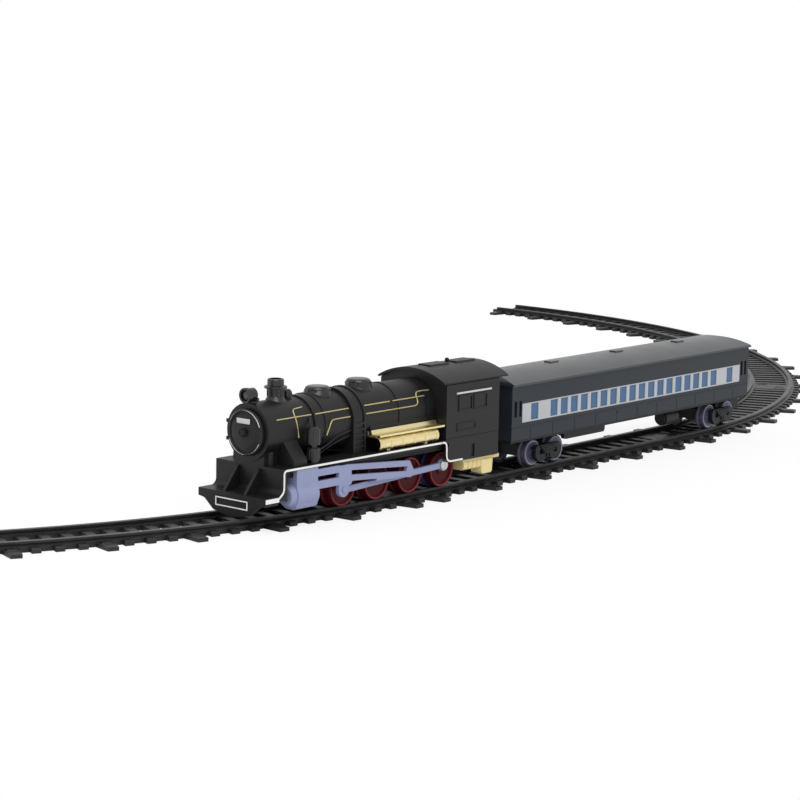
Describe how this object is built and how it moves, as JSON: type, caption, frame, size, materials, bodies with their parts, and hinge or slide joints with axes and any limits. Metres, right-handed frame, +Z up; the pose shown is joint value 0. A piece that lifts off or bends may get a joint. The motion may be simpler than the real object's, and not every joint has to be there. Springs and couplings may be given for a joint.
{
  "type": "model train",
  "caption": "Battery steam locomotive with valve gear, gear drive and smokebox battery door, hitched to a bogie passenger coach on clip-together curved plastic track.",
  "frame": {"origin": "centre of the straight track section's underside", "axes": "+X along the straight section towards the coach's end of the set, +Y away from the viewer's side towards the curves' centres, +Z up from the table"},
  "size_m": [0.8134, 0.4105, 0.059],
  "materials": {
    "track": "moulded matt",
    "loco_black": "satin black plastic",
    "chassis_black": "matt",
    "gold_trim": "satin gold paint",
    "gear_lavender": "moulded satin",
    "wheel_red": "moulded satin",
    "wheel_blue": "moulded satin",
    "coach_wheel": "moulded satin",
    "cream": "moulded satin",
    "coach_grey": "satin",
    "coach_roof": "satin",
    "coach_black": "matt",
    "strip_white": "satin",
    "pane_blue": "glossy",
    "steel": "plated",
    "gear_white": "moulded",
    "cell_case": "printed sleeve left bare",
    "switch_red": "moulded"
  },
  "bodies": {
    "track": {"track_straight": "track", "track_left_curve": "track", "track_right_curve_1": "track", "track_right_curve_2": "track", "track_right_curve_3": "track"},
    "loco": {"boiler": "loco_black", "headlight": "loco_black", "chimney": "loco_black", "bell": "loco_black", "sand_dome": "loco_black", "steam_dome": "loco_black", "cab": "loco_black", "cab_roof": "loco_black", "running_board": "loco_black", "front_deck": "loco_black", "left_air_tank": "gold_trim", "right_air_tank": "gold_trim", "left_tank_shelf": "gold_trim", "right_tank_shelf": "gold_trim", "air_pump": "loco_black", "left_cylinder": "gear_lavender", "right_cylinder": "gear_lavender", "chassis": "chassis_black", "cab_underframe": "cream", "battery_cell": "cell_case", "battery_contacts": "steel", "motor": "steel", "chassis_screws": "steel"},
    "smokebox_door": {"smokebox_door": "loco_black"},
    "driver_1": {"driver_axle_1": "wheel_red"},
    "driver_2": {"driver_axle_2": "wheel_red"},
    "driver_3": {"driver_axle_3": "wheel_red"},
    "driver_4": {"driver_axle_4": "wheel_blue", "axle_gear": "gear_white", "crank_pins": "steel"},
    "left_rod": {"left_main_rod": "gear_lavender"},
    "right_rod": {"right_main_rod": "gear_lavender"},
    "idler": {"idler_gear": "gear_white"},
    "motor_shaft": {"motor_pinion": "gear_white"},
    "switch": {"power_switch": "switch_red"},
    "drawbar": {"drawbar": "chassis_black"},
    "coach": {"coach_body": "coach_grey", "coach_roof": "coach_roof", "coach_floor": "coach_black", "left_window_strip": "strip_white", "right_window_strip": "strip_white", "left_glazing": "pane_blue", "right_glazing": "pane_blue", "underfloor_box": "coach_black", "underfloor_tank": "coach_black", "bogie_screws": "steel", "rear_coupler": "coach_black"},
    "front_bogie": {"front_bogie": "coach_black"},
    "rear_bogie": {"rear_bogie": "coach_black"},
    "coach_wheels_1": {"coach_axle_1": "coach_wheel"},
    "coach_wheels_2": {"coach_axle_2": "coach_wheel"},
    "coach_wheels_3": {"coach_axle_3": "coach_wheel"},
    "coach_wheels_4": {"coach_axle_4": "coach_wheel"}
  },
  "joints": [
    {"name": "loco_travel", "type": "hinge", "parent": "track", "child": "loco", "pos_m": [-0.10565, 0.38, 0], "axis": [0, 0, -1], "range_deg": [0, 12.06]},
    {"name": "coach_travel", "type": "slide", "parent": "track", "child": "coach", "axis": [-1, -0.0075, 0], "range_m": [0, 0.08]},
    {"name": "drawbar_swing", "type": "hinge", "parent": "loco", "child": "drawbar", "pos_m": [-0.05589, -0.00097, 0.01295], "axis": [0, 0, 1], "range_deg": [-25, 25]},
    {"name": "door_hinge", "type": "hinge", "parent": "loco", "child": "smokebox_door", "pos_m": [-0.19084, 0.0135, 0.0389], "axis": [0, 0, -1], "range_deg": [0, 100]},
    {"name": "driver_spin_1", "type": "hinge", "parent": "loco", "child": "driver_1", "pos_m": [-0.14731, 0.00158, 0.0122], "axis": [-0.0279, -0.9996, 0], "continuous": true},
    {"name": "driver_spin_2", "type": "hinge", "parent": "loco", "child": "driver_2", "pos_m": [-0.12622, 0.001, 0.0122], "axis": [-0.0279, -0.9996, 0], "continuous": true},
    {"name": "driver_spin_3", "type": "hinge", "parent": "loco", "child": "driver_3", "pos_m": [-0.10512, 0.0004, 0.0122], "axis": [-0.0279, -0.9996, 0], "continuous": true},
    {"name": "driver_spin_4", "type": "hinge", "parent": "loco", "child": "driver_4", "pos_m": [-0.08403, -0.00018, 0.0122], "axis": [-0.0279, -0.9996, 0], "continuous": true},
    {"name": "left_rod_pivot", "type": "hinge", "parent": "driver_4", "child": "left_rod", "pos_m": [-0.08745, -0.01559, 0.01471], "axis": [-0.0279, -0.9996, 0], "continuous": true},
    {"name": "right_rod_pivot", "type": "hinge", "parent": "driver_4", "child": "right_rod", "pos_m": [-0.08659, 0.01539, 0.01471], "axis": [-0.0279, -0.9996, 0], "continuous": true},
    {"name": "idler_spin", "type": "hinge", "parent": "loco", "child": "idler", "pos_m": [-0.07806, -0.00035, 0.01958], "axis": [-0.0279, -0.9996, 0], "continuous": true},
    {"name": "motor_spin", "type": "hinge", "parent": "loco", "child": "motor_shaft", "pos_m": [-0.07028, -0.00057, 0.02503], "axis": [-0.0279, -0.9996, 0], "continuous": true},
    {"name": "switch_slide", "type": "slide", "parent": "loco", "child": "switch", "axis": [-0.0279, -0.9996, 0], "range_m": [0, 0.004]},
    {"name": "front_bogie_swivel", "type": "hinge", "parent": "coach", "child": "front_bogie", "pos_m": [-0.00642, 0.00037, 0.013], "axis": [0, 0, 1], "range_deg": [-4, 4]},
    {"name": "rear_bogie_swivel", "type": "hinge", "parent": "coach", "child": "rear_bogie", "pos_m": [0.14188, 0.00089, 0.013], "axis": [0, 0, 1], "range_deg": [0, 4]},
    {"name": "coach_spin_1", "type": "hinge", "parent": "front_bogie", "child": "coach_wheels_1", "pos_m": [-0.01522, 0.00034, 0.0104], "axis": [0.0035, -1, 0], "continuous": true},
    {"name": "coach_spin_2", "type": "hinge", "parent": "front_bogie", "child": "coach_wheels_2", "pos_m": [0.00238, 0.0004, 0.0104], "axis": [0.0035, -1, 0], "continuous": true},
    {"name": "coach_spin_3", "type": "hinge", "parent": "rear_bogie", "child": "coach_wheels_3", "pos_m": [0.13309, 0.00053, 0.0104], "axis": [0.0401, -0.9992, 0], "continuous": true},
    {"name": "coach_spin_4", "type": "hinge", "parent": "rear_bogie", "child": "coach_wheels_4", "pos_m": [0.15067, 0.00124, 0.0104], "axis": [0.0401, -0.9992, 0], "continuous": true}
  ],
  "couplings": [
    {"joint": "coach_travel", "follows": "loco_travel", "m_per_rad": 0.38},
    {"joint": "drawbar_swing", "follows": "loco_travel", "ratio": 1.649},
    {"joint": "left_rod_pivot", "follows": "driver_spin_4", "ratio": -1},
    {"joint": "right_rod_pivot", "follows": "driver_spin_4", "ratio": -1},
    {"joint": "idler_spin", "follows": "driver_spin_4", "ratio": -2.8},
    {"joint": "motor_spin", "follows": "driver_spin_4", "ratio": 10.5}
  ]
}
